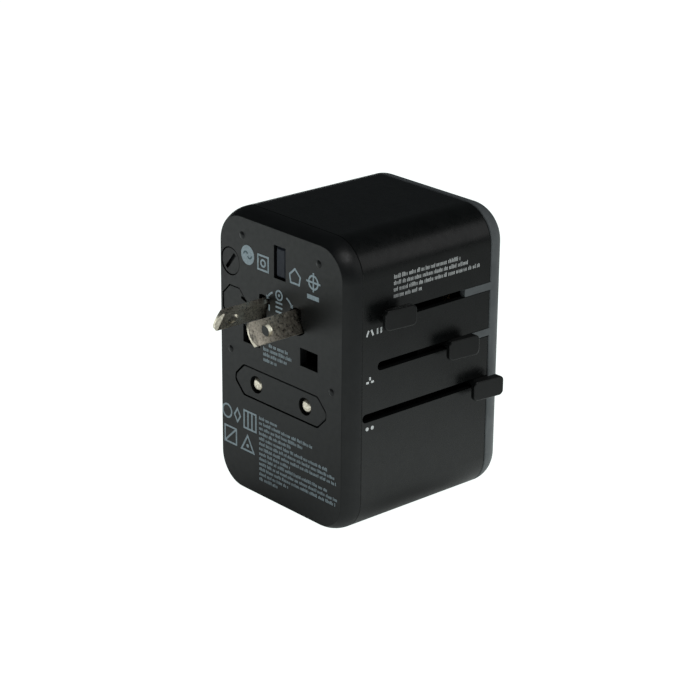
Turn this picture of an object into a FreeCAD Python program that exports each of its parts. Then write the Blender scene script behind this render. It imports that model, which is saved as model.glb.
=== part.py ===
import FreeCAD, Part
import math
import os

# Universal travel adapter with sliding USA/AUS, UK and EU plugs, a fused mains path, a shuttered
# universal socket and a USB charger.
# Frame: +Z up, the plug face looks along -Y, the socket along +Y and the slider knobs stick out of +X.
# The origin is the centre of the flat face that the adapter stands on.  Lengths are millimetres.
# A "depth" is measured backwards (+Y) from the plug face.

# ---------------------------------------------------------------- driving dimensions
WIDTH = 50.1                    # X
DEPTH = 54.8                    # plug face to socket face
HEIGHT = 77.0                   # Z
CORNER = 9.7                    # corner radius of the section across Y
WALL = 1.9
FACE_INSET = 1.66               # from the walls to the edge of the flat plug face
FACE_EDGE = 0.3                 # round of that edge
REAR_INSET = 4.36               # from the walls to the edge of the flat rear rim
REAR_ROLL = 49.0                # depth at which the rear frame starts to roll inwards
FRONT_SEAM = 5.1                # depth of the joint between front cover and sleeve
REAR_SEAM = 48.4                # depth of the joint between sleeve and rear frame
FRONT_GAP = 0.1                 # open width of each joint
REAR_GAP = 0.26
SEAM_CHAMFER = 0.2

# plug patterns: heights above the standing face
EARTH_Z = 66.9                  # UK earth, 22.23 above line and neutral
UK_Z = EARTH_Z - 22.23
UK_X = 11.115                   # half of the UK line-neutral spacing
BLADE_Z = 53.45
BLADE_X = 6.6                   # half of the spacing of the two blade axes
EU_Z = 31.8
EU_X = 9.53                     # half of the EU pin spacing
BLADE_TILT = 30.0               # AUS blades lean 30 degrees, USA blades are parallel

# plug sizes
BLADE_WIDTH = 6.1
BLADE_THICK = 1.6
BLADE_OUT = 15.2                # blade length beyond the plug face
BLADE_HOLE = 10.1               # from the plug face to the hole of a blade
BLADE_CROWN = 5.6               # radius of the bowed end of a blade
UK_PIN_W = 6.35
UK_PIN_H = 4.0
EARTH_W = 4.0
EARTH_H = 8.0
EU_R = 2.0
EU_BLOCK = (35.1, 8.1)          # width and height of the block around the EU pins
EU_BLOCK_CHAMFER = 3.3

SHUTTER_STROKE = 8.0

# slider slots in the +X wall
SLOT_HEIGHT = 2.3
USA_SLOT_Z = 56.85
UK_SLOT_Z = 44.5
EU_SLOT_Z = 31.7
NECK_HEIGHT = 2.0

# moving parts at rest, as depths
USA_PLATE = (4.5, 10.5)
UK_PLATE = (25.5, 31.5)
EU_PLATE = (45.0, 49.9)
USA_NECK = (10.65, 18.65)
UK_NECK = (33.3, 39.9)
EU_NECK = (42.9, 48.2)
USA_TONGUE_FRONT = 39.5
UK_TONGUE_FRONT = 40.4

# socket end, as depths
CARRIER = (41.5, 46.6)
SHUTTER = (47.4, 49.0)
SOCKET_INNER = 49.3
SOCKET_STEP = 51.9
SOCKET_OUTER = 54.2

# decks that hold the bus strips, as heights
LOWER_DECK = (37.0, 38.0)
UPPER_DECK = (60.4, 61.4)
STRIP_THICK = 0.6

# fuses, on the line side
FUSE_X = -19.45
FUSE_Z = 62.5
SPARE_X = -17.9
SPARE_Z = 51.45
SPARE_DOOR = 9.3                # across the flats of the octagonal door
FUSE_R = 2.6
FUSE_LENGTH = 20.0

# charger
BOARD_Z = (14.4, 15.6)
PORT_X = 9.5
USB_A_Z = 11.45
USB_C_Z = 17.3

INNER_SIDE = WIDTH / 2 - WALL
RUNNING = 0.05                  # radial clearance of shafts and pins that turn or slide
os.makedirs("parts", exist_ok=True)


# ---------------------------------------------------------------- helpers
def block(x, depth, z):
    """Box between two X values, two depths and two heights."""
    corner = FreeCAD.Vector(x[0], depth[0] - DEPTH / 2, z[0])
    return Part.makeBox(x[1] - x[0], depth[1] - depth[0], z[1] - z[0], corner)


def centred(x, z, width, height, depth):
    """Box along Y, centred on a point of the plug pattern."""
    return block((x - width / 2, x + width / 2), depth, (z - height / 2, z + height / 2))


def rod(radius, depth, x, z):
    """Round bar along Y."""
    base = FreeCAD.Vector(x, depth[0] - DEPTH / 2, z)
    return Part.makeCylinder(radius, depth[1] - depth[0], base, FreeCAD.Vector(0, 1, 0))


def edges_along(shape, axis):
    """Straight edges of a shape that run along one axis."""
    found = []
    for edge in shape.Edges:
        ends = [vertex.Point for vertex in edge.Vertexes]
        if len(ends) == 2 and abs((ends[1] - ends[0]).dot(axis)) > 0.999 * edge.Length:
            found.append(edge)
    return found


def along_y(shape, radius):
    """The same prism with the edges that run along Y rounded."""
    return shape.makeFillet(radius, edges_along(shape, FreeCAD.Vector(0, 1, 0)))


def shell_prism(inset, depth):
    """The case outline, inset on every side, as a prism along Y."""
    prism = block((inset - WIDTH / 2, WIDTH / 2 - inset), depth, (inset, HEIGHT - inset))
    return along_y(prism, CORNER - inset)


def rolled_end(flat, tangent, inset):
    """Case outline that rolls inwards from one depth to a flat end, smaller by an inset, at another."""
    run = flat - tangent
    radius = (inset * inset + run * run) / (2 * inset)
    crest = tangent + math.copysign(radius, run)
    body = shell_prism(0, sorted((crest, 2 * tangent - crest)))
    body = body.makeFillet(radius, rim_edges(body, crest))
    return body.common(block((-WIDTH, WIDTH), sorted((flat, 2 * tangent - crest)), (-1, HEIGHT + 1)))


def rim_edges(shape, depth):
    """Every edge that lies wholly at one depth."""
    at = depth - DEPTH / 2
    return [edge for edge in shape.Edges
            if abs(edge.BoundBox.YMin - at) < 1e-4 and abs(edge.BoundBox.YMax - at) < 1e-4]


def eu_outline(margin, depth):
    """Section of the EU block as a prism along Y: a long octagon with softened corners."""
    body = centred(0, EU_Z, EU_BLOCK[0] + 2 * margin, EU_BLOCK[1] + 2 * margin, depth)
    body = body.makeChamfer(EU_BLOCK_CHAMFER, edges_along(body, FreeCAD.Vector(0, 1, 0)))
    return along_y(body, EU_BLOCK_CHAMFER / 2.2)


def turned(shape, x, z, degrees):
    """A copy turned about a Y axis; positive carries +Z towards +X."""
    copy = shape.copy()
    copy.rotate(FreeCAD.Vector(x, 0, z), FreeCAD.Vector(0, 1, 0), degrees)
    return copy


def prism_x(points, x):
    """Prism along X of a closed outline of (depth, height) points."""
    corners = [FreeCAD.Vector(x[0], depth - DEPTH / 2, z) for depth, z in points]
    face = Part.Face(Part.makePolygon(corners + corners[:1]))
    return face.extrude(FreeCAD.Vector(x[1] - x[0], 0, 0))


def prism_z(points, z):
    """Prism along Z of a closed outline of (x, depth) points."""
    corners = [FreeCAD.Vector(x, depth - DEPTH / 2, z[0]) for x, depth in points]
    face = Part.Face(Part.makePolygon(corners + corners[:1]))
    return face.extrude(FreeCAD.Vector(0, 0, z[1] - z[0]))


def leaf(path, thickness, x):
    """Bent strip along X whose other face is the path of (depth, height) points moved in height."""
    back = [(depth, z + thickness) for depth, z in reversed(path)]
    return prism_x(list(path) + back, x)


def joined(first, *others):
    """One solid from several touching ones."""
    return first.fuse(list(others)).removeSplitter()


def save(node, *solids):
    """Write one node; several separate solids are kept apart in a compound."""
    shape = solids[0] if len(solids) == 1 else Part.makeCompound(list(solids))
    for solid in shape.Solids:
        if not solid.isValid():
            raise RuntimeError(node + " is not valid")
    shape.exportStep("parts/" + node + ".step")
    print("%-26s solids %2d  volume %9.1f" % (node, len(shape.Solids), shape.Volume))


# ---------------------------------------------------------------- blade openings
def blade_opening(side, depth, width, thick):
    """Butterfly opening that lets a blade turn between parallel and tilted."""
    x = side * BLADE_X
    slot = centred(x, BLADE_Z, thick, width, depth)
    opening = slot
    steps = 6
    for step in range(1, steps + 1):
        opening = opening.fuse(turned(slot, x, BLADE_Z, -side * BLADE_TILT * step / steps))
    disc = rod(width / 2 - 0.02, depth, x, BLADE_Z)
    return opening.common(disc).removeSplitter()


# ---------------------------------------------------------------- case
SLOTS = ((USA_SLOT_Z, 10.6), (UK_SLOT_Z, 10.2), (EU_SLOT_Z, 5.4))


def spigot(depth, root):
    """Thin ring inside the sleeve that lines up two case parts, open along the slider wall."""
    ring = shell_prism(WALL + RUNNING, depth).cut(shell_prism(WALL + 1.0, depth))
    foot = shell_prism(WALL - 0.1, root).cut(shell_prism(WALL + 1.0, root))
    return joined(ring, foot).cut(block((15, WIDTH), (depth[0] - 1, depth[1] + 1), (25, 62.5)))


def front_cover():
    """Plug face with every plug opening, hollow behind."""
    plate = 2.2
    body = rolled_end(0, FRONT_SEAM, FACE_INSET)
    body = body.common(block((-WIDTH, WIDTH), (0, FRONT_SEAM - FRONT_GAP / 2), (-1, HEIGHT + 1)))
    body = body.makeFillet(FACE_EDGE, rim_edges(body, 0))
    body = body.cut(shell_prism(WALL, (plate, FRONT_SEAM)))
    body = joined(body, spigot((plate, 6.6), (plate, plate + 1)))
    through = (-1, plate + 1)
    cuts = [centred(0, EARTH_Z, 4.5, 8.6, through),
            eu_outline(0.25, through),
            rod(3.75, through, FUSE_X, FUSE_Z),
            octagon(SPARE_DOOR + 0.3, through),
            pry_notch()]
    for side in (-1, 1):
        cuts.append(centred(side * UK_X, UK_Z, 6.65, 4.77, through))
        cuts.append(blade_opening(side, through, BLADE_WIDTH + 1.1, BLADE_THICK + 1.3))
    body = body.cut(cuts)
    dots = []
    for x, z in ((14.65, 70.5), (19.6, 38.7)):
        for side in (-1, 1):
            dots.append(dome(side * x, z))
    return joined(body, *dots)


def dome(x, z):
    """Small raised dot on the plug face."""
    radius, rise = 1.0, 0.35
    ball = (radius * radius + rise * rise) / (2 * rise)
    sphere = Part.makeSphere(ball, FreeCAD.Vector(x, ball - rise - DEPTH / 2, z))
    return sphere.common(rod(radius, (-rise, 0.3), x, z))


def octagon(across, depth):
    """Octagonal prism of the spare fuse door."""
    body = centred(SPARE_X, SPARE_Z, across, across, depth)
    corner = across * (1 - math.tan(math.pi / 8)) / 2
    return body.makeChamfer(corner, edges_along(body, FreeCAD.Vector(0, 1, 0)))


def pry_notch():
    """Fingernail notch across the door's upper right edge."""
    x, z = SPARE_X + 3.75, SPARE_Z + 2.15
    return turned(centred(x, z, 2.4, 0.8, (-1.0, 0.9)), x, z, 18)


def main_sleeve():
    """Middle of the case: slider slots run out of its rear edge."""
    start = FRONT_SEAM + FRONT_GAP / 2
    end = REAR_SEAM - REAR_GAP / 2
    body = shell_prism(0, (start, end))
    body = body.makeChamfer(SEAM_CHAMFER, rim_edges(body, start) + rim_edges(body, end))
    body = body.cut(shell_prism(WALL, (start - 1, end + 1)))
    for z, front in SLOTS:
        slot = centred(WIDTH / 2, z, 2 * WALL + 2, SLOT_HEIGHT, (front, DEPTH))
        ends = [edge for edge in edges_along(slot, FreeCAD.Vector(1, 0, 0)) if edge.BoundBox.YMax < 0]
        body = body.cut(slot.makeFillet(SLOT_HEIGHT / 2 - 0.01, ends))
    rails = []
    for side in (-1, 1):
        for low, high in ((13.2, BOARD_Z[0] - 0.1), (BOARD_Z[1] + 0.1, 16.8)):
            span = sorted((side * 21.0, side * (INNER_SIDE + 0.2)))
            rails.append(block(span, (9.0, 46.0), (low, high)))
    return joined(body, *rails)


def rear_frame():
    """Socket end of the case with the two tongues that close the USA and UK slots."""
    start = REAR_SEAM + REAR_GAP / 2
    body = rolled_end(DEPTH, REAR_ROLL, REAR_INSET)
    body = body.common(block((-WIDTH, WIDTH), (start, DEPTH), (-1, HEIGHT + 1)))
    body = body.makeChamfer(SEAM_CHAMFER, rim_edges(body, start))
    body = body.cut(shell_prism(WALL, (start - 1, SOCKET_STEP + 0.1)))
    body = body.cut(shell_prism(4.6, (SOCKET_STEP - 1, DEPTH + 1)))
    parts = [spigot((46.9, 49.2), (start + 0.3, 49.2))]
    for z, front, half in ((USA_SLOT_Z, USA_TONGUE_FRONT, 1.0), (UK_SLOT_Z, UK_TONGUE_FRONT, 0.95)):
        parts.append(block((INNER_SIDE + 0.1, WIDTH / 2), (front, start + 0.6), (z - half, z + half)))
    return joined(body, *parts)


def uk_aperture(side, depth):
    """Socket opening shared by a UK pin and an EU pin."""
    flat = centred(side * UK_X, UK_Z, 6.85, 4.5, depth)
    return flat.fuse(rod(2.6, depth, side * EU_X, UK_Z))


def socket_face():
    """Inner panel of the socket end: AC apertures above, USB openings below."""
    body = joined(shell_prism(WALL + 0.15, (SOCKET_INNER, SOCKET_STEP)),
                  shell_prism(4.7, (SOCKET_STEP, SOCKET_OUTER)))
    through = (SOCKET_INNER - 1, DEPTH)
    cuts = [centred(0, EARTH_Z, 4.6, 8.7, through), rod(1.05, through, 0, USB_C_Z)]
    for side in (-1, 1):
        cuts.append(uk_aperture(side, through))
        cuts.append(blade_opening(side, through, *BLADE_PASSAGE))
        cuts.append(along_y(centred(side * PORT_X, USB_A_Z, 13.3, 5.9, through), 0.6))
        cuts.append(along_y(centred(side * PORT_X, USB_C_Z, 9.1, 3.4, through), 1.6))
    cuts.append(block((-WIDTH, WIDTH), (SOCKET_INNER - 1, SOCKET_STEP - 0.9), (27.5, 36.5)))
    cuts.append(block((-21.8, 21.8), (SOCKET_INNER - 1, 50.4), (BOARD_Z[0] - 0.2, BOARD_Z[1] + 0.2)))
    for x, z in SCREWS:
        cuts.append(rod(0.95, (SOCKET_INNER - 1, SCREW_END + 0.2), x, z))
    return body.cut(cuts)


# ---------------------------------------------------------------- socket inside
SCREWS = ((-20.4, 39.8), (20.4, 39.8), (-18.8, 70.3), (18.8, 70.3))
SCREW_END = 51.5
LEAF = 0.5
BLADE_PASSAGE = (7.2, 2.1)       # width and thickness of the openings for flat blades


def safety_shutter():
    """Sliding plate that covers the live apertures; its windows line up after the stroke."""
    body = block((-14.8, 14.8), SHUTTER, (41.2, 61.6))
    right_uk = uk_aperture(1, SHUTTER).BoundBox
    right_us = blade_opening(1, SHUTTER, *BLADE_PASSAGE).BoundBox
    rows = ((right_uk, UK_Z, 2.7), (right_us, BLADE_Z, 3.7))
    for bounds, z, half in rows:
        window = (bounds.XMin - SHUTTER_STROKE - 0.05, bounds.XMax - SHUTTER_STROKE + 0.05)
        body = body.cut(block(window, (SHUTTER[0] - 1, SHUTTER[1] + 1), (z - half, z + half)))
    notch = (-20, -4.05 - SHUTTER_STROKE + 0.05)
    body = body.cut(block(notch, (SHUTTER[0] - 1, SHUTTER[1] + 1), (BLADE_Z - 3.7, BLADE_Z + 3.7)))
    return body.cut(block((-10, 3.4), (SHUTTER[0] - 1, SHUTTER[1] + 1), (58.6, 60.4)))


def shutter_spring():
    """Compression spring in the shutter's long window."""
    wire, coil, pitch, length = 0.14, 0.6, 1.2, 11.4
    middle = (SHUTTER[0] + SHUTTER[1]) / 2 - DEPTH / 2
    path = Part.makeHelix(pitch, length, coil)
    section = Part.Wire(Part.makeCircle(wire, FreeCAD.Vector(coil, 0, 0), FreeCAD.Vector(0, 1, 0)))
    coils = Part.Wire(path).makePipeShell([section], True, True)
    coils.rotate(FreeCAD.Vector(0, 0, 0), FreeCAD.Vector(0, 1, 0), 90)
    coils.translate(FreeCAD.Vector(-9.8, middle, 59.5))
    return Part.Solid(coils) if coils.ShapeType != "Solid" else coils


def contact_carrier():
    """Moulded block behind the shutter with one pocket for each socket contact."""
    body = shell_prism(2.3, CARRIER).common(block((-WIDTH, WIDTH), CARRIER, (LOWER_DECK[0], HEIGHT)))
    front_wall = CARRIER[0] + 1.5
    cuts = [centred(0, EARTH_Z, 5.0, 9.2, (CARRIER[0] - 1, CARRIER[1] + 1))]
    for side in (-1, 1):
        through = (CARRIER[0] - 1, front_wall + 1)
        pocket = sorted((side * 3.2, side * 16.2))
        cuts.append(block(pocket, (front_wall, CARRIER[1] + 1), (40.0, 61.8)))
        cuts.append(uk_aperture(side, through))
        cuts.append(rod(3.9, through, side * BLADE_X, BLADE_Z))
    for x, z in SCREWS:
        cuts.append(rod(1.1, (CARRIER[0] - 1, CARRIER[1] + 1), x, z))
    body = body.cut(cuts)
    post = block((2.0, 3.2), (CARRIER[1] - 4.0, SHUTTER[1]), (58.8, 60.2))
    link = block((1.0, 3.3), (CARRIER[1] - 4.0, CARRIER[1]), (58.8, 60.2))
    return joined(body, post, link)


def socket_contact(side):
    """Stamped contact with jaws for UK and EU pins and for flat blades."""
    base_depth = CARRIER[0] + 1.55
    body = block(sorted((side * 3.5, side * 15.9)), (base_depth, base_depth + LEAF), (40.2, 61.0))
    body = body.cut([uk_aperture(side, (0, DEPTH)), blade_opening(side, (0, DEPTH), *BLADE_PASSAGE)])
    jaw = (base_depth, CARRIER[1] - 0.3)
    leaves = [centred(side * 11.0, UK_Z + drop, 7.0, LEAF, jaw) for drop in (-2.9, 2.9)]
    leaves += [centred(side * BLADE_X + shift, BLADE_Z, LEAF, 4.0, jaw) for shift in (-2.85, 2.85)]
    return joined(body, *leaves)


def deck(level, left, right, front):
    """Flat guide plate between two sliders."""
    return block((left, right), (front, CARRIER[0]), level)


def lower_deck():
    """Shelf between the UK and EU sliders, with openings for the EU fingers."""
    body = deck(LOWER_DECK, -22.0, 22.7, 3.0)
    openings = [block(sorted((side * 7.6, side * 11.6)), (8.0, 14.0), (30, 40)) for side in (-1, 1)]
    return body.cut(openings)


def upper_deck():
    """Shelf between the USA/AUS slider and the UK earth pin."""
    wide = block((-22.0, 22.0), (34.0, CARRIER[0]), UPPER_DECK)
    return joined(deck(UPPER_DECK, -10.2, 21.8, 3.0), wide)


def finger(side, x, depth, root, tip):
    """Contact finger: a bent leaf that leaves a strip and reaches towards a slider."""
    up = math.copysign(STRIP_THICK, tip - root)
    path = ((depth, root), (depth + 1.4, tip), (depth + 2.6, tip), (depth + 4.0, root))
    return leaf(path, -up, sorted((side * x[0], side * x[1])))


def bus(side):
    """Bent strip that joins the fingers of all three plugs on one pole."""
    low = (LOWER_DECK[1], LOWER_DECK[1] + STRIP_THICK)
    high = (UPPER_DECK[0] - STRIP_THICK, UPPER_DECK[0])
    riser_depth = (40.5, 41.3)
    span = sorted((side * 16.2, side * 18.6))
    return joined(
        block(sorted((side * 5.0, side * 13.5)), (4.0, 37.0), low),
        block(sorted((side * 5.0, side * 18.6)), (36.0, 41.3), low),
        block(span, riser_depth, (low[0], high[1])),
        block(sorted((side * 3.5, side * 18.6)), (36.0, 41.3), high),
        block(sorted((side * 3.5, side * 9.5)), (4.0, 37.0), high),
        finger(side, (9.6, 12.6), 4.4, low[1], 40.75),
        finger(side, (8.0, 11.2), 8.6, low[0], 36.65),
        finger(side, (4.8, 8.4), 5.0, high[0], 58.8))


def detent(level, crest, depth, x):
    """Leaf with a rounded crest that clicks into a slider arm."""
    thick = math.copysign(0.35, crest - level)
    flat, top = level + thick, crest
    path = ((depth, flat), (depth + 2.6, flat), (depth + 4.2, top), (depth + 5.2, top),
            (depth + 6.8, flat), (depth + 9.4, flat))
    return leaf(path, -thick, x)


def detent_springs():
    """One leaf for each slider arm."""
    span = (17.2, 21.4)
    return (detent(LOWER_DECK[1], 42.2, 26.0, span), detent(LOWER_DECK[0], 33.75, 28.0, span),
            detent(UPPER_DECK[0], 58.3, 25.0, span))


def carrier_screws():
    """Four screws through the carrier into the socket face."""
    screws = []
    for x, z in SCREWS:
        head = rod(1.6, (40.25, CARRIER[0]), x, z)
        head = head.cut(rod(0.7, (40.0, 40.9), x, z))
        screws.append(joined(head, rod(0.95, (CARRIER[0] - 0.2, SCREW_END), x, z)))
    return screws


# ---------------------------------------------------------------- fuses
FUSE_START = 3.2


def fuse_housing():
    """Moulded block with the bores of the working and the spare fuse, stepped in beside the spigot."""
    outline = block((-22.9, -14.1), (2.35, 26.6), (47.85, 66.3))
    body = joined(outline.common(shell_prism(WALL + 1.1, (2.35, 7.0))),
                  outline.common(shell_prism(WALL + 0.2, (7.0, 26.6))))
    return body.cut([rod(FUSE_R + 0.25, (1.0, 25.2), FUSE_X, FUSE_Z),
                     rod(0.9, (20.0, 28.0), FUSE_X, FUSE_Z),
                     rod(FUSE_R + 0.25, (1.0, 24.6), SPARE_X, SPARE_Z)])


def fuse(x, z, start):
    """Ceramic body with a metal cap on each end, all in line."""
    end = start + FUSE_LENGTH
    tube = rod(FUSE_R - 0.15, (start + 0.3, end - 0.3), x, z)
    return joined(tube, rod(FUSE_R, (start, start + 5.0), x, z), rod(FUSE_R, (end - 5.0, end), x, z))


def fuse_cap():
    """Round cap with a coin slot, flush with the plug face."""
    slot_angle = 39.4
    body = joined(rod(3.6, (0.15, 2.3), FUSE_X, FUSE_Z), rod(2.5, (2.3, FUSE_START - 0.25), FUSE_X, FUSE_Z))
    body = body.makeFillet(0.3, rim_edges(body, 0.15))
    slot = centred(FUSE_X, FUSE_Z, 1.1, 5.4, (-1.0, 1.15))
    return body.cut(turned(slot, FUSE_X, FUSE_Z, slot_angle))


def spare_fuse_door():
    """Octagonal lid with a plug that enters the spare fuse bore."""
    body = octagon(SPARE_DOOR, (0.12, 2.2))
    body = body.makeChamfer(0.25, rim_edges(body, 0.12)).cut(pry_notch())
    return joined(body, rod(FUSE_R, (2.2, 3.0), SPARE_X, SPARE_Z))


def fuse_front_clip():
    """Spring washer behind the cap that touches the front end of the fuse."""
    ring = rod(2.4, (FUSE_START - 0.2, FUSE_START - 0.02), FUSE_X, FUSE_Z)
    return ring.cut(rod(1.2, (0, 9), FUSE_X, FUSE_Z))


def fuse_rear_clip():
    """Contact stud behind the fuse and the strap that leads back from it."""
    stud = rod(0.8, (FUSE_START + FUSE_LENGTH + 0.05, 27.2), FUSE_X, FUSE_Z)
    strap = block((FUSE_X - 1.2, FUSE_X + 1.2), (26.7, 27.3), (60.9, FUSE_Z + 1.2))
    tail = block((FUSE_X - 1.2, FUSE_X + 1.2), (26.7, 33.8), (60.5, 61.0))
    return joined(stud, strap, tail)


# ---------------------------------------------------------------- knobs
ARM_END = 22.9                   # X where a slider's arm meets the stem of its knob


def knob(slot_z, neck, centre, z):
    """Wedge-shaped finger pad carried clear of the wall on a neck that runs in its slot."""
    stand_off, front_thick, rear_thick = 2.4, 1.2, 2.2
    length, height = 9.5, 5.25
    face = WIDTH / 2 + stand_off
    front, rear = centre - length / 2, centre + length / 2
    outline = ((face, front), (face + front_thick, front), (face + rear_thick, rear), (face, rear))
    pad = prism_z(outline, (z - height / 2, z + height / 2))
    pad = pad.makeFillet(1.3, edges_along(pad, FreeCAD.Vector(1, 0, 0)))
    outer = [edge for edge in pad.Edges if edge.BoundBox.XMin > face + front_thick / 2]
    pad = pad.makeFillet(0.35, outer)
    stem = block((ARM_END, face + 0.2), neck, (slot_z - NECK_HEIGHT / 2, slot_z + NECK_HEIGHT / 2))
    stem = stem.makeFillet(NECK_HEIGHT / 2 - 0.02, edges_along(stem, FreeCAD.Vector(1, 0, 0)))
    return joined(pad, stem)


# ---------------------------------------------------------------- USA/AUS plug
ROTOR = (3.3, 2.6)              # radii of the rotor's head and shank
ROTOR_HEAD_END = 6.5


def usa_carriage():
    """Slider with the two rotor bores and the arm to its knob."""
    body = joined(block((-10.5, 12.0), USA_PLATE, (48.5, 58.0)),
                  block((11.0, ARM_END), (USA_PLATE[0], USA_NECK[1]), (55.1, 58.0)))
    cuts = []
    for side in (-1, 1):
        cuts.append(rod(ROTOR[0] + RUNNING, (0, ROTOR_HEAD_END), side * BLADE_X, BLADE_Z))
        cuts.append(rod(ROTOR[1] + RUNNING, (0, 20), side * BLADE_X, BLADE_Z))
    return body.cut(cuts)


def blade_rotor(side):
    """Insulating drum that turns in the carriage and holds one blade."""
    x = side * BLADE_X
    body = joined(rod(ROTOR[0], (USA_PLATE[0], ROTOR_HEAD_END - RUNNING), x, BLADE_Z),
                  rod(ROTOR[1], (ROTOR_HEAD_END - RUNNING, 11.5), x, BLADE_Z))
    return body.cut(flat_blade(side))


def rotor_clip(side):
    """Push-on washer that keeps the rotor in the carriage."""
    x = side * BLADE_X
    return rod(3.3, (USA_PLATE[1] + RUNNING, USA_PLATE[1] + 0.55), x, BLADE_Z).cut(
        rod(ROTOR[1], (0, 20), x, BLADE_Z))


def flat_blade(side):
    """Flat blade with a bowed, bevelled tip, a hole near it and a narrow shank inside the rotor."""
    x = side * BLADE_X
    half = BLADE_THICK / 2
    bevel, tip_half = 1.3, 0.25
    across = FreeCAD.Vector(1, 0, 0)
    crown_start = FreeCAD.Vector(x - BLADE_THICK, BLADE_CROWN - BLADE_OUT - DEPTH / 2, BLADE_Z)
    crown = Part.makeCylinder(BLADE_CROWN, 2 * BLADE_THICK, crown_start, across)
    straight = centred(x, BLADE_Z, 2 * BLADE_THICK, 2 * BLADE_WIDTH, (BLADE_CROWN - BLADE_OUT, 6.0))
    blade = centred(x, BLADE_Z, BLADE_THICK, BLADE_WIDTH, (-BLADE_OUT, 5.9)).common(crown.fuse(straight))
    for face in (-1, 1):
        outline = ((x + face * half, bevel - BLADE_OUT), (x + face * tip_half, -BLADE_OUT - 0.01),
                   (x + face * (half + 1), -BLADE_OUT - 0.01), (x + face * (half + 1), bevel - BLADE_OUT))
        blade = blade.cut(prism_z(outline, (BLADE_Z - BLADE_WIDTH, BLADE_Z + BLADE_WIDTH)))
    hole = Part.makeCylinder(1.6, 4, FreeCAD.Vector(x - 2, -BLADE_HOLE - DEPTH / 2, BLADE_Z), across)
    shank = centred(x, BLADE_Z, BLADE_THICK, 4.0, (5.0, 12.2))
    return turned(joined(blade.cut(hole), shank), x, BLADE_Z, -side * BLADE_TILT)


def usa_strip(side):
    """Brass strap on the carriage: a top pad for the bus finger and a tab behind the blade."""
    pad = block(sorted((side * 4.8, side * 8.4)), (5.0, 12.85), (58.02, 58.42))
    tab = block(sorted((side * 4.8, side * 8.4)), (12.35, 12.85), (51.5, 58.42))
    return joined(pad, tab)


# ---------------------------------------------------------------- UK plug
def uk_carriage():
    """Slider that carries three pins: bar, web past the USA slider, and the earth pin head."""
    bar = block((-15.0, 15.0), UK_PLATE, (41.4, 47.5))
    arm = block((14.0, ARM_END), (UK_PLATE[0], UK_NECK[1]), (42.5, 46.3))
    web = block((-12.6, -10.9), UK_PLATE, (47.0, 63.0))
    head = block((-12.6, 3.4), UK_PLATE, (62.3, 71.4))
    body = joined(bar, arm, web, head)
    return body.cut([uk_live_pin(-1), uk_live_pin(1), uk_earth_pin()])


def tapered_pin(x, z, width, height, depth, lead):
    """Rectangular pin with a chamfered tip."""
    pin = centred(x, z, width, height, depth)
    return pin.makeChamfer(lead, rim_edges(pin, depth[0]))


def uk_live_pin(side):
    """Brass pin with a contact pad under the carriage bar."""
    pin = tapered_pin(side * UK_X, UK_Z, UK_PIN_W, UK_PIN_H, (5.5, 33.0), 1.1)
    pad = block(sorted((side * 9.6, side * 12.6)), (26.5, 30.5), (41.1, UK_Z - 1))
    return joined(pin, pad)


def uk_earth_pin():
    """Plastic pin that only opens shutters and guides the plug."""
    return tapered_pin(0, EARTH_Z, EARTH_W, EARTH_H, (0.3, 31.5), 0.6)


# ---------------------------------------------------------------- EU plug
def eu_block():
    """Telescoping block that the EU pins run through."""
    body = eu_outline(0, (0.1, 25.4))
    body = body.makeFillet(0.3, rim_edges(body, 0.1))
    body = joined(body, block((-18.8, 18.8), (22.6, 25.4), (EU_Z - 4.0, EU_Z + 4.0)))
    for side in (-1, 1):
        body = body.cut([rod(EU_R + RUNNING, (-1, 30), side * EU_X, EU_Z),
                         rod(2.35, (-1, 1.4), side * EU_X, EU_Z)])
    return body


def eu_pin(side):
    """Round pin with a domed tip, held in the carriage."""
    pin = rod(EU_R, (0.3, 49.0), side * EU_X, EU_Z)
    pin = pin.makeFillet(1.3, rim_edges(pin, 0.3))
    pad = block(sorted((side * 8.2, side * 11.0)), (45.8, 48.8), (EU_Z, 36.3))
    return joined(pin, pad)


def eu_carriage():
    """Slider behind the block with the arm to its knob."""
    body = joined(block((-13.5, 14.0), EU_PLATE, (27.9, 35.9)),
                  block((13.0, ARM_END), EU_PLATE, (29.6, 33.4)),
                  block((19.3, ARM_END), (EU_NECK[0], EU_PLATE[1]), (29.6, 33.4)))
    return body.cut([eu_pin(-1), eu_pin(1)])


# ---------------------------------------------------------------- charger
def usb_shell(x, z, width, height, depth, round_off, wall):
    """Folded metal shell of a USB receptacle, open at its mouth."""
    outer = along_y(centred(x, z, width, height, depth), round_off)
    inner = along_y(centred(x, z, width - 2 * wall, height - 2 * wall, (depth[0] + wall, DEPTH)),
                    round_off - wall)
    return outer.cut(inner)


def filter_inductor():
    """Toroid standing on the board."""
    centre = FreeCAD.Vector(13.5, 24.0 - DEPTH / 2, 20.3)
    return Part.makeTorus(3.0, 1.7, centre, FreeCAD.Vector(1, 0, 0))


def transformer():
    """Ferrite core with a gap through which the winding shows."""
    core = block((-16.0, 0.0), (12.0, 25.0), (BOARD_Z[1], 26.2))
    window = block((-13.2, -2.8), (11.0, 26.0), (BOARD_Z[1] + 2.0, 24.2))
    winding = block((-13.2, -2.8), (12.6, 24.4), (BOARD_Z[1] + 2.0, 24.2))
    winding = winding.makeFillet(1.5, edges_along(winding, FreeCAD.Vector(1, 0, 0)))
    return core.cut(window), winding


LEAD_X = (-19.6, -17.0)
LEAD_DEPTH = 36.0


def barrier_plate():
    """Insulating sheet between the EU slider and the charger, pierced for the leads."""
    body = block((-22.2, 22.2), (8.0, 46.5), (26.6, 27.4))
    for x in LEAD_X:
        body = body.cut(Part.makeCylinder(1.0, 2, FreeCAD.Vector(x, LEAD_DEPTH - DEPTH / 2, 26)))
    return body


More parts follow.
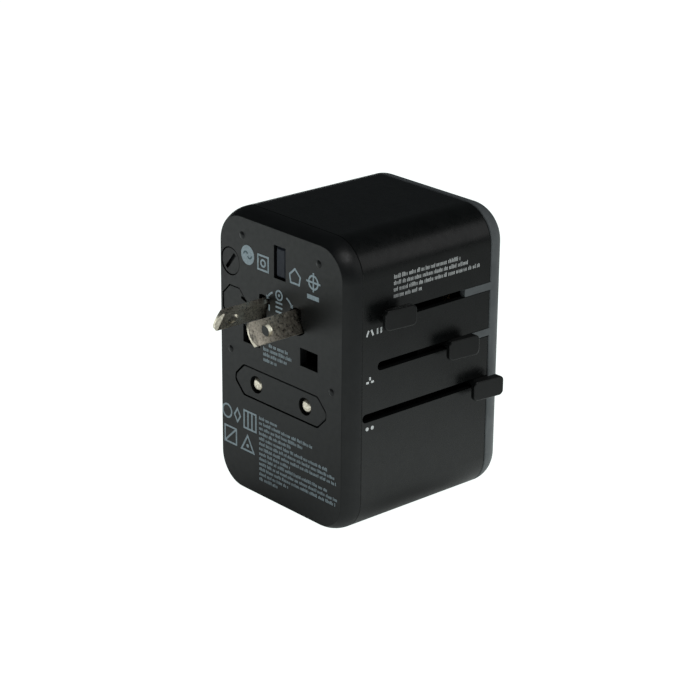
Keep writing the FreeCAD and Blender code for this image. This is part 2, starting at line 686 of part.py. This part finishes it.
def leads():
    """Two insulated wires from the lower deck down to the board, clear of the EU slider."""
    wires = []
    for x in LEAD_X:
        base = FreeCAD.Vector(x, LEAD_DEPTH - DEPTH / 2, BOARD_Z[1])
        wires.append(Part.makeCylinder(0.8, LOWER_DECK[0] - BOARD_Z[1], base))
    return wires


# ---------------------------------------------------------------- write every node
save("front_cover", front_cover())
save("main_sleeve", main_sleeve())
save("rear_frame", rear_frame())
save("socket_face", socket_face())
save("safety_shutter", safety_shutter())
save("shutter_spring", shutter_spring())
save("contact_carrier", contact_carrier())
save("lower_deck", lower_deck())
save("upper_deck", upper_deck())
save("detent_springs", *detent_springs())
save("carrier_screws", *carrier_screws())

save("fuse_housing", fuse_housing())
save("fuse_cap", fuse_cap())
save("working_fuse", fuse(FUSE_X, FUSE_Z, FUSE_START))
save("spare_fuse", fuse(SPARE_X, SPARE_Z, FUSE_START + 0.6))
save("spare_fuse_door", spare_fuse_door())
save("fuse_front_clip", fuse_front_clip())
save("fuse_rear_clip", fuse_rear_clip())

for pole, side in (("line", -1), ("neutral", 1)):
    save(pole + "_socket_contact", socket_contact(side))
    save(pole + "_bus", bus(side))
    save("usa_" + pole + "_strip", usa_strip(side))
    save("uk_" + pole + "_pin", uk_live_pin(side))
    save("eu_" + pole + "_pin", eu_pin(side))
    hand = {"line": "left", "neutral": "right"}[pole]
    save(hand + "_blade", flat_blade(side))
    save(hand + "_blade_rotor", blade_rotor(side))
    save(hand + "_rotor_clip", rotor_clip(side))

save("usa_carriage", usa_carriage())
save("usa_knob", knob(USA_SLOT_Z, USA_NECK, 14.2, 57.35))
save("uk_carriage", uk_carriage())
save("uk_earth_pin", uk_earth_pin())
save("uk_knob", knob(UK_SLOT_Z, UK_NECK, 36.0, 44.25))
save("eu_block", eu_block())
save("eu_carriage", eu_carriage())
save("eu_knob", knob(EU_SLOT_Z, EU_NECK, 45.15, 30.95))

save("barrier_plate", barrier_plate())
save("charger_board", block((-21.6, 21.6), (7.0, 50.2), BOARD_Z))
core, winding = transformer()
save("transformer_core", core)
save("transformer_winding", winding)
save("bulk_capacitors", *[rod(4.4, (9.0, 27.0), x, BOARD_Z[0] - 4.5) for x in (-15.0, -4.5)])
save("output_capacitors", *[rod(3.0, (31.0, 39.0), x, BOARD_Z[1] + 3.05) for x in (-10.0, -2.5, 5.0)])
save("filter_inductor", filter_inductor())
ports = (-PORT_X, PORT_X)
save("usb_a_shells", *[usb_shell(x, USB_A_Z, 13.1, 5.7, (40.2, 54.1), 0.5, 0.3) for x in ports])
save("usb_a_tongues", *[centred(x, USB_A_Z + 1.0, 11.1, 1.8, (40.5, 52.6)) for x in ports])
save("usb_c_shells", *[usb_shell(x, USB_C_Z, 8.9, 3.2, (46.6, 54.1), 1.5, 0.3) for x in ports])
save("usb_c_tongues", *[centred(x, USB_C_Z, 6.7, 0.7, (46.9, 53.2)) for x in ports])
save("light_pipe", rod(1.0, (47.0, 54.1), 0, USB_C_Z))
save("mains_leads", *leads())
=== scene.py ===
import math
import random

import bmesh
import bpy
from mathutils import Matrix, Vector

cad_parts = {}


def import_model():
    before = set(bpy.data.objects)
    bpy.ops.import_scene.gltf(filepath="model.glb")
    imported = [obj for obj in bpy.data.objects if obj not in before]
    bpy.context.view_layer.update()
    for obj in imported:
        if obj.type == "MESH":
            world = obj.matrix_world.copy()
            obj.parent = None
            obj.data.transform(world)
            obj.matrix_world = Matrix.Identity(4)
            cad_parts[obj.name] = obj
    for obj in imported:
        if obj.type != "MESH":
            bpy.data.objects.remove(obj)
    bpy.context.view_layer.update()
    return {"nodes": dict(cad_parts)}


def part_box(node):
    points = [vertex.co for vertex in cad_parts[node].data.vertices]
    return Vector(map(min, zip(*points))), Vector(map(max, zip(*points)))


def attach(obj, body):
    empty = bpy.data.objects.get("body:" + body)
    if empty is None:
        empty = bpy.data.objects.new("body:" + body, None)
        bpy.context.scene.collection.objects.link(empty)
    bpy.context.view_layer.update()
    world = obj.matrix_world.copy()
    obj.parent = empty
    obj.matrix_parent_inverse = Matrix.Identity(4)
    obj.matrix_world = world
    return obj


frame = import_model()

# Universal travel adapter. Lengths are metres in the row frame; MM turns millimetres into metres.
MM = 0.001
DOT_RISE = 0.35 * MM                           # the raised dots are all that stands out of the plug face
PLUG_FACE_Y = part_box("front_cover")[0].y + DOT_RISE
SIDE_FACE_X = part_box("main_sleeve")[1].x
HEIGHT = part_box("main_sleeve")[1].z
CENTRE = Vector((0.0, 0.0, HEIGHT / 2))


# ---------------------------------------------------------------- node material helpers
def new_material(name, **constants):
    """A Principled material; values that don't vary are set on the shader's own sockets."""
    material = bpy.data.materials.new(name)
    material.use_nodes = True
    shader = material.node_tree.nodes["Principled BSDF"]
    for socket, value in constants.items():
        shader.inputs[socket.replace("_", " ")].default_value = value
    return material


def node(material, kind, **settings):
    """A new node with some of its properties set."""
    made = material.node_tree.nodes.new(kind)
    for key, value in settings.items():
        setattr(made, key, value)
    return made


def link(material, source, target):
    material.node_tree.links.new(source, target)


def shader_input(material, name):
    return material.node_tree.nodes["Principled BSDF"].inputs[name]


def noise(material, size, detail=3.0, stretch=(1.0, 1.0, 1.0)):
    """Noise whose features are about size metres across, longer along an axis by its stretch."""
    place = node(material, "ShaderNodeTexCoord")
    mapping = node(material, "ShaderNodeMapping")
    mapping.inputs["Scale"].default_value = [1.0 / (size * s) for s in stretch]
    texture = node(material, "ShaderNodeTexNoise")
    texture.inputs["Scale"].default_value = 1.0
    texture.inputs["Detail"].default_value = detail
    link(material, place.outputs["Object"], mapping.inputs["Vector"])
    link(material, mapping.outputs["Vector"], texture.inputs["Vector"])
    return texture.outputs["Fac"]


def colour_from(material, factor, stops):
    """Base colour that runs through (position, colour) stops along a factor."""
    ramp = node(material, "ShaderNodeValToRGB").color_ramp
    ramp.elements[0].position = stops[0][0]
    ramp.elements[0].color = (*stops[0][1], 1.0)
    ramp.elements[1].position = stops[-1][0]
    ramp.elements[1].color = (*stops[-1][1], 1.0)
    for position, colour in stops[1:-1]:
        ramp.elements.new(position).color = (*colour, 1.0)
    owner = material.node_tree.nodes[-1]
    link(material, factor, owner.inputs["Fac"])
    link(material, owner.outputs["Color"], shader_input(material, "Base Color"))


NOISE_LOW, NOISE_HIGH = 0.3, 0.7               # most of a noise texture's values lie between these


def roughness_from(material, factor, low, high):
    """Roughness that varies between two values along a noise factor."""
    spread = node(material, "ShaderNodeMapRange")
    spread.inputs["From Min"].default_value = NOISE_LOW
    spread.inputs["From Max"].default_value = NOISE_HIGH
    spread.inputs["To Min"].default_value = low
    spread.inputs["To Max"].default_value = high
    link(material, factor, spread.inputs["Value"])
    link(material, spread.outputs["Result"], shader_input(material, "Roughness"))


def bump_from(material, height, depth):
    """Surface relief of a depth in metres."""
    bump = node(material, "ShaderNodeBump")
    bump.inputs["Strength"].default_value = 1.0
    bump.inputs["Distance"].default_value = depth
    link(material, height, bump.inputs["Height"])
    link(material, bump.outputs["Normal"], shader_input(material, "Normal"))


# ---------------------------------------------------------------- materials
PLASTIC_MOTTLE, PLASTIC_GLOSS_PATCH, PLASTIC_GRAIN = 5 * MM, 1.3 * MM, 0.35 * MM
PLASTIC_RELIEF = 0.006 * MM
METAL_TARNISH, METAL_GLOSS_PATCH, METAL_GRAIN = 0.5 * MM, 0.7 * MM, 0.12 * MM
METAL_RELIEF = 0.004 * MM


def moulded_plastic(name, dark, light, rough, specular):
    """Textured moulded plastic with faint mottling and a fine spark-eroded grain."""
    material = new_material(name, Specular_IOR_Level=specular)
    colour_from(material, noise(material, PLASTIC_MOTTLE), ((0.35, dark), (0.65, light)))
    roughness_from(material, noise(material, PLASTIC_GLOSS_PATCH), rough - 0.05, rough + 0.05)
    bump_from(material, noise(material, PLASTIC_GRAIN, 2.0), PLASTIC_RELIEF)
    return material


def plated_metal(name, stops, rough, streak=(1.0, 1.0, 1.0)):
    """Metal with patches of tarnish and fine marks drawn out along its streaks."""
    material = new_material(name, Metallic=1.0)
    colour_from(material, noise(material, METAL_TARNISH, 4.0), stops)
    roughness_from(material, noise(material, METAL_GLOSS_PATCH, 3.0), rough - 0.08, rough + 0.1)
    bump_from(material, noise(material, METAL_GRAIN, 2.0, streak), METAL_RELIEF)
    return material


def grey(value):
    return (value, value, value)


# Dark colour, light colour, roughness and specular level.
PLASTICS = {
    "case_black": ((0.0030, 0.0036, 0.0036), (0.0045, 0.0052, 0.0052), 0.30, 0.24),
    "face_black": ((0.0050, 0.0058, 0.0062), (0.0068, 0.0077, 0.0080), 0.42, 0.22),
    "frame_grey": ((0.080, 0.088, 0.092), (0.098, 0.108, 0.112), 0.50, 0.2),
    "knob_black": ((0.0035, 0.0040, 0.0040), (0.0050, 0.0055, 0.0055), 0.36, 0.22),
    "inner_plastic": (grey(0.002), grey(0.003), 0.6, 0.06),
    "pin_grey": ((0.026, 0.030, 0.040), (0.033, 0.038, 0.048), 0.55, 0.12),
    "pale_plastic": ((0.020, 0.019, 0.018), (0.028, 0.027, 0.025), 0.55, 0.2),
    "port_tongue": (grey(0.012), grey(0.02), 0.4, 0.4),
    "board_green": ((0.01, 0.08, 0.03), (0.02, 0.12, 0.045), 0.35, 0.5),
    "ferrite": (grey(0.03), grey(0.05), 0.55, 0.4),
    "winding_tape": ((0.55, 0.40, 0.05), (0.68, 0.52, 0.09), 0.3, 0.5),
    "capacitor": ((0.02, 0.022, 0.04), (0.03, 0.032, 0.05), 0.3, 0.5),
    "inductor": ((0.28, 0.09, 0.03), (0.42, 0.16, 0.06), 0.3, 0.5),
    "lead_insulation": ((0.30, 0.02, 0.015), (0.38, 0.04, 0.03), 0.45, 0.5),
    "fuse_ceramic": ((0.72, 0.70, 0.64), (0.82, 0.80, 0.74), 0.25, 0.5),
    "light_pipe": ((0.60, 0.66, 0.72), (0.70, 0.76, 0.82), 0.15, 0.5),
}
# Colour stops, roughness and, for drawn or rolled metal, the streaks of its grain.
ALONG_Y = (1.0, 12.0, 1.0)
METALS = {
    "nickel": (((0.35, (0.46, 0.42, 0.34)), (0.55, (0.65, 0.60, 0.50)), (0.7, (0.78, 0.73, 0.63))),
               0.32, ALONG_Y),
    # contact brass is coloured far darker than real brass: painted shade for the inside of the case, seen
    # through the slots
    "contact_brass": (((0.4, (0.09, 0.06, 0.025)), (0.65, (0.14, 0.10, 0.05))), 0.35),
    "spring_steel": (((0.4, grey(0.45)), (0.65, grey(0.58))), 0.28, ALONG_Y),
    "screw_steel": (((0.4, grey(0.40)), (0.65, grey(0.52))), 0.35),
    "port_steel": (((0.4, grey(0.42)), (0.65, grey(0.55))), 0.32, ALONG_Y),
}
MATERIALS = {name: moulded_plastic(name, *look) for name, look in PLASTICS.items()}
MATERIALS.update({name: plated_metal(name, *look) for name, look in METALS.items()})
for cad_node in frame["nodes"].values():
    slot_name = cad_node.data.materials[0].name.split(".")[0]
    cad_node.data.materials[0] = MATERIALS[slot_name]


# ---------------------------------------------------------------- printed marks
INK_SUNK = 0.01 * MM
INK_RISE = 0.015 * MM
INK_STEP = 0.001 * MM                          # shapes that cross lie at different heights
INK_LEVELS = 7
ARC_STEP = 12                                  # degrees
DISC_SIDES = 40
TICKS_IN_GROUP = (3, 9)
TICK_HEIGHTS = (0.75, 0.75, 1.0)               # shares of the line's height
TICK_PITCHES = (0.34, 0.38, 0.44)              # millimetres
GROUP_GAP = 0.35


class Ink:
    """Thin printed shapes on one flat face, drawn in millimetres across and up."""

    def __init__(self, name, place, material, rise=INK_RISE):
        self.name = name
        self.place = place
        self.material = material
        self.rise = rise
        self.shapes = 0
        self.mesh = bmesh.new()

    def corners(self, points):
        """Top and sunk vertices of the next shape."""
        height = self.rise + INK_STEP * (self.shapes % INK_LEVELS)
        top = [self.mesh.verts.new(self.place(u * MM, v * MM, height)) for u, v in points]
        bottom = [self.mesh.verts.new(self.place(u * MM, v * MM, -INK_SUNK)) for u, v in points]
        return top, bottom

    def polygon(self, points):
        """A filled convex outline."""
        top, bottom = self.corners(points)
        self.shapes += 1
        self.mesh.faces.new(top)
        self.mesh.faces.new(list(reversed(bottom)))
        for i in range(len(points)):
            j = (i + 1) % len(points)
            self.mesh.faces.new((top[i], bottom[i], bottom[j], top[j]))

    def stroke(self, outer, inner, closed):
        """A stroke between two edges with the same number of points."""
        outer_top, outer_low = self.corners(outer)
        inner_top, inner_low = self.corners(inner)
        self.shapes += 1
        count = len(outer)
        for i in range(count if closed else count - 1):
            j = (i + 1) % count
            self.mesh.faces.new((outer_top[i], outer_top[j], inner_top[j], inner_top[i]))
            self.mesh.faces.new((outer_low[i], inner_low[i], inner_low[j], outer_low[j]))
            self.mesh.faces.new((outer_top[i], outer_low[i], outer_low[j], outer_top[j]))
            self.mesh.faces.new((inner_top[i], inner_top[j], inner_low[j], inner_low[i]))
        if not closed:
            for i in (0, -1):
                self.mesh.faces.new((outer_top[i], inner_top[i], inner_low[i], outer_low[i]))

    def rectangle(self, left, right, low, high):
        self.polygon([(left, low), (right, low), (right, high), (left, high)])

    def bar(self, start, end, width):
        """A straight stroke."""
        a, b = Vector(start), Vector(end)
        side = (b - a).normalized().orthogonal() * width / 2
        self.polygon([a + side, b + side, b - side, a - side])

    def loop(self, points, width):
        """A closed outline with mitred corners, its points anticlockwise."""
        outer, inner = [], []
        for i, point in enumerate(points):
            here = Vector(point)
            before = (here - Vector(points[i - 1])).normalized()
            after = (Vector(points[(i + 1) % len(points)]) - here).normalized()
            out = Vector((before.y + after.y, -before.x - after.x)).normalized()
            reach = width / 2 / out.dot(Vector((after.y, -after.x)))
            outer.append(here + out * reach)
            inner.append(here - out * reach)
        self.stroke(outer, inner, True)

    def arc(self, centre, radius, start, end, width):
        """A round stroke between two angles in degrees, anticlockwise from the right."""
        closed = abs(end - start) == 360
        steps = max(4, round(abs(end - start) / ARC_STEP))
        turns = [math.radians(start + (end - start) * i / steps) for i in range(steps + (not closed))]
        outer, inner = [[(centre[0] + r * math.cos(t), centre[1] + r * math.sin(t)) for t in turns]
                        for r in (radius + width / 2, radius - width / 2)]
        self.stroke(outer, inner, closed)

    def disc(self, centre, radius):
        turns = [2 * math.pi * i / DISC_SIDES for i in range(DISC_SIDES)]
        self.polygon([(centre[0] + radius * math.cos(t), centre[1] + radius * math.sin(t)) for t in turns])

    def greeked(self, left, right, middle, height, rng, stroke=0.2):
        """A line of plain upright ticks in groups, which stands for small print without being writing."""
        base = middle - height / 2
        u = left
        while u < right:
            for _ in range(rng.randint(*TICKS_IN_GROUP)):
                tall = height * rng.choice(TICK_HEIGHTS)
                self.rectangle(u, u + stroke, base, base + tall)
                u += rng.choice(TICK_PITCHES)
                if u > right:
                    break
            u += GROUP_GAP

    def finish(self):
        bmesh.ops.recalc_face_normals(self.mesh, faces=self.mesh.faces)
        data = bpy.data.meshes.new(self.name)
        self.mesh.to_mesh(data)
        self.mesh.free()
        piece = bpy.data.objects.new(self.name, data)
        bpy.context.scene.collection.objects.link(piece)
        data.materials.append(self.material)
        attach(piece, "case")
        return piece


def ink_material(name, thin, full):
    """Pad-printed ink, thinner in places so that the plastic shows through."""
    material = new_material(name, Specular_IOR_Level=0.3)
    colour_from(material, noise(material, 0.4 * MM), ((0.35, thin), (0.65, full)))
    roughness_from(material, noise(material, 0.8 * MM), 0.5, 0.6)
    return material


PALE_INK = ink_material("pale_ink", (0.26, 0.33, 0.37), (0.36, 0.44, 0.49))
WHITE_INK = ink_material("white_ink", (0.50, 0.53, 0.53), (0.68, 0.70, 0.70))
DARK_INK = ink_material("dark_ink", (0.05, 0.09, 0.11), (0.08, 0.13, 0.15))


def on_plug_face(u, v, out):
    """u runs along +X and v is the height."""
    return (u, PLUG_FACE_Y - out, v)


def on_side_face(u, v, out):
    """u is the depth behind the plug face and v is the height."""
    return (SIDE_FACE_X + out, PLUG_FACE_Y + u, v)


def pictograms():
    """Row of plain signs beside the earth opening; none of them is a mark or a word."""
    stroke = 0.5
    ink = Ink("front_pictograms", on_plug_face, PALE_INK)
    ink.disc((-12.5, 65.85), 2.55)
    ink.loop([(-8.45, 63.35), (-4.45, 63.35), (-4.45, 67.1), (-8.45, 67.1)], stroke)
    ink.arc((-6.45, 65.2), 0.85, 0, 360, stroke)
    ink.loop([(4.2, 63.15), (7.4, 63.15), (7.8, 65.2), (5.8, 66.95), (3.8, 65.2)], stroke)
    ink.arc((12.7, 65.25), 1.7, 0, 360, stroke)
    ink.bar((10.1, 65.25), (15.3, 65.25), stroke)
    ink.bar((12.7, 62.8), (12.7, 67.7), stroke)
    ink.rectangle(10.4, 14.8, 60.75, 61.9)
    ink.finish()
    wave = Ink("front_wave_sign", on_plug_face, DARK_INK, 2 * INK_RISE)
    wave.arc((-13.25, 65.85), 0.75, 180, 20, 0.45)
    wave.arc((-11.75, 65.85), 0.75, 200, 360, 0.45)
    wave.finish()


def twist_sign():
    """Two arrows that show how the flat blades turn, with a ring and strokes between them."""
    middle, radius, stroke = (-0.1, 53.3), 5.9, 0.5
    ink = Ink("front_twist_sign", on_plug_face, PALE_INK)
    for outer, inner, lead in ((141, 117, 1), (39, 63, -1)):
        ink.arc(middle, radius, outer, inner, stroke)
        tip, base = math.radians(outer + 9 * lead), math.radians(outer)
        ends = [(middle[0] + r * math.cos(t), middle[1] + r * math.sin(t))
                for r, t in ((radius, tip), (radius + 0.7, base), (radius - 0.7, base))]
        ink.polygon(ends)
    ink.arc((-0.3, 58.4), 1.2, 0, 360, 0.45)
    ink.disc((-0.3, 58.4), 0.4)
    for v in (56.4, 55.2, 54.0):
        ink.bar((-1.6, v), (1.0, v), 0.5)
    ink.bar((-4.1, 53.4), (-4.1, 55.0), 0.5)
    ink.finish()


def rating_signs():
    """Plain shapes where approval marks usually stand."""
    stroke = 0.5
    ink = Ink("front_rating_signs", on_plug_face, PALE_INK)
    ink.arc((-21.3, 21.1), 1.8, 0, 360, stroke)
    ink.loop([(-17.1, 19.3), (-15.9, 21.1), (-17.1, 22.9), (-18.3, 21.1)], stroke)
    for u in (-14.4, -12.8, -11.2, -9.6):
        ink.bar((u, 18.6), (u, 23.4), stroke)
    ink.bar((-14.65, 23.4), (-9.35, 23.4), stroke)
    ink.bar((-14.65, 18.6), (-9.35, 18.6), stroke)
    ink.loop([(-22.3, 12.5), (-17.6, 12.5), (-17.6, 16.9), (-22.3, 16.9)], stroke)
    ink.bar((-22.3, 12.5), (-17.6, 16.9), stroke)
    ink.loop([(-15.5, 12.4), (-10.5, 12.4), (-13.0, 16.6)], stroke)
    ink.disc((-13.0, 13.8), 0.5)
    ink.finish()


def small_print():
    """Greeked lines on the plug face: four short ones in the middle and a block below."""
    rng = random.Random(4)
    ink = Ink("front_small_print", on_plug_face, PALE_INK)
    for left, right, v in ((-4.3, 2.8, 44.1), (-6.5, 4.5, 42.7), (-6.5, 2.7, 41.3), (-6.5, -1.2, 39.8)):
        ink.greeked(left, right, v, 1.0, rng)
    top, pitch = 23.2, 1.41
    rights = (-0.9, 12.8, 8.7, 4.2, 18.2, 21.3, 21.3, 3.7, 18.2, 21.8, 21.3, 3.3, -1.1)
    for row, right in enumerate(rights):
        ink.greeked(-8.3, right, top - row * pitch, 0.9, rng)
    ink.finish()


def side_print():
    """Greeked lines over the upper slot."""
    rng = random.Random(9)
    ink = Ink("side_small_print", on_side_face, WHITE_INK)
    for right, v in ((37.3, 66.7), (40.4, 65.05), (44.7, 63.4), (24.3, 61.75)):
        ink.greeked(15.2, right, v, 1.1, rng, stroke=0.15)
    ink.finish()


def side_slot_signs():
    """Pin patterns of the three plugs: slanted and upright blades, three flat pins, two round pins."""
    signs = Ink("side_slot_signs", on_side_face, WHITE_INK)
    left, half = 6.5, 0.75
    flat, square, round_pins = 53.9, 41.5, 28.8
    for low, high in ((0.0, 0.6), (2.1, 1.5), (3.5, 3.5), (4.7, 4.7)):
        signs.bar((left + low, flat - half), (left + high, flat + half), 0.5)
    signs.bar((left + 1.25, square + 0.1), (left + 1.25, square + 0.9), 0.55)
    for start in (0.0, 1.6):
        signs.bar((left + start, square - 0.45), (left + start + 0.9, square - 0.45), 0.55)
    for middle in (0.5, 2.2):
        signs.disc((left + middle, round_pins), 0.5)
    signs.finish()


pictograms()
twist_sign()
rating_signs()
small_print()
side_print()
side_slot_signs()


# ---------------------------------------------------------------- studio
CAMERA_AZIMUTH = 48.261


def looking_back(azimuth, elevation):
    """Direction from the object towards a place at an azimuth and elevation round it."""
    a, e = math.radians(azimuth), math.radians(elevation)
    return Vector((math.sin(a) * math.cos(e), -math.cos(a) * math.cos(e), math.sin(e)))


def area_light(name, azimuth, elevation, distance, size, power):
    """A white soft box that faces the object."""
    data = bpy.data.lights.new(name, "AREA")
    data.shape = "RECTANGLE"
    data.size, data.size_y = size
    data.energy = power
    lamp = bpy.data.objects.new(name, data)
    back = looking_back(azimuth, elevation)
    lamp.location = CENTRE + back * distance
    lamp.rotation_mode = "QUATERNION"
    lamp.rotation_quaternion = (-back).to_track_quat("-Z", "Y")
    bpy.context.scene.collection.objects.link(lamp)


# Radiance that the light table gives the object, by distance across the picture from its middle:
# negative is the left of the picture, positive the right.
TABLE_GLOW = ((-0.9, 0.25), (-0.35, 1.4), (-0.2, 1.6), (-0.1, 1.0), (-0.03, 0.7),
              (0.02, 1.3), (0.05, 1.15), (0.09, 0.95), (0.16, 0.4), (0.45, 0.35))
# Share of that glow by distance from the middle of the adapter, which shades the table round its foot.
TABLE_SHADE = ((0.0, 0.1), (0.027, 0.25), (0.037, 0.7), (0.047, 1.0), (0.5, 1.0))
TABLE_WHITE = 1.1                               # what the camera sees of it


def curve_over(material, source, stops):
    """A value that follows (input, output) stops along a source."""
    low, high = stops[0][0], stops[-1][0]
    top = max(value for _, value in stops)
    reach = node(material, "ShaderNodeMapRange")
    reach.inputs["From Min"].default_value = low
    reach.inputs["From Max"].default_value = high
    curve = node(material, "ShaderNodeFloatCurve")
    points = curve.mapping.curves[0].points
    places = [((where - low) / (high - low), value / top) for where, value in stops]
    points[0].location = places[0]
    points[1].location = places[-1]
    for place in places[1:-1]:
        points.new(*place)
    for point in points:
        point.handle_type = "VECTOR"
    curve.mapping.update()
    scaled = node(material, "ShaderNodeMath", operation="MULTIPLY")
    scaled.inputs[1].default_value = top
    link(material, source, reach.inputs["Value"])
    link(material, reach.outputs["Result"], curve.inputs["Value"])
    link(material, curve.outputs["Value"], scaled.inputs[0])
    return scaled.outputs["Value"]


def table_material():
    """White for the camera, and a soft graded glow for the object's lighting and reflections."""
    material = new_material("light_table", Roughness=0.9, Specular_IOR_Level=0.0)
    colour_from(material, noise(material, 0.4), ((0.3, grey(0.20)), (0.7, grey(0.22))))
    place = node(material, "ShaderNodeTexCoord")
    axes = node(material, "ShaderNodeSeparateXYZ")
    link(material, place.outputs["Object"], axes.inputs["Vector"])
    glow = curve_over(material, axes.outputs["X"], TABLE_GLOW)
    away = node(material, "ShaderNodeVectorMath", operation="LENGTH")
    link(material, place.outputs["Object"], away.inputs[0])
    shaded = node(material, "ShaderNodeMath", operation="MULTIPLY")
    link(material, glow, shaded.inputs[0])
    link(material, curve_over(material, away.outputs["Value"], TABLE_SHADE), shaded.inputs[1])
    seen = node(material, "ShaderNodeLightPath")
    chosen = node(material, "ShaderNodeMapRange")
    chosen.inputs["To Max"].default_value = TABLE_WHITE
    link(material, seen.outputs["Is Camera Ray"], chosen.inputs["Value"])
    link(material, shaded.outputs["Value"], chosen.inputs["To Min"])
    link(material, chosen.outputs["Result"], shader_input(material, "Emission Strength"))
    shader_input(material, "Emission Color").default_value = (0.94, 1.0, 0.98, 1.0)
    return material


def floor():
    """Plain pale light table that runs out of the picture on every side; its X runs across the picture."""
    half = 3.0
    data = bpy.data.meshes.new("floor")
    corners = [(-half, -half, 0), (half, -half, 0), (half, half, 0), (-half, half, 0)]
    data.from_pydata(corners, [], [(0, 1, 2, 3)])
    piece = bpy.data.objects.new("floor", data)
    piece.rotation_euler = (0, 0, math.radians(CAMERA_AZIMUTH))
    bpy.context.scene.collection.objects.link(piece)
    data.materials.append(table_material())


def world():
    scene = bpy.context.scene
    scene.world = bpy.data.worlds.new("studio")
    scene.world.use_nodes = True
    background = scene.world.node_tree.nodes["Background"]
    background.inputs["Color"].default_value = (0.9, 1.0, 1.05, 1)
    background.inputs["Strength"].default_value = 0.05
    scene.view_settings.view_transform = "Standard"


def camera():
    """Camera at the calibrated angle, aimed a little off the middle of the object."""
    elevation, roll = 20.967, math.radians(0.592)
    distance, across, up_shift, lens = 0.58370, -0.00296, -0.00109, 116.45
    back = looking_back(CAMERA_AZIMUTH, elevation)
    level = looking_back(CAMERA_AZIMUTH + 90, 0.0)
    upright = back.cross(level)
    right = level * math.cos(roll) + upright * math.sin(roll)
    up = upright * math.cos(roll) - level * math.sin(roll)
    data = bpy.data.cameras.new("camera")
    data.lens = lens
    data.sensor_width = 36.0
    data.clip_start = 0.01
    data.clip_end = 20.0
    viewer = bpy.data.objects.new("camera", data)
    place = CENTRE + back * distance + right * across + up * up_shift
    turn = Matrix((right, up, back)).transposed()
    viewer.matrix_world = Matrix.Translation(place) @ turn.to_4x4()
    bpy.context.scene.collection.objects.link(viewer)
    bpy.context.scene.camera = viewer


floor()
world()
camera()
area_light("key_softbox", 90, 59, 1.2, (0.3, 0.3), 4.5)
area_light("rear_softbox", 132, 25, 1.2, (1.1, 0.7), 2.4)
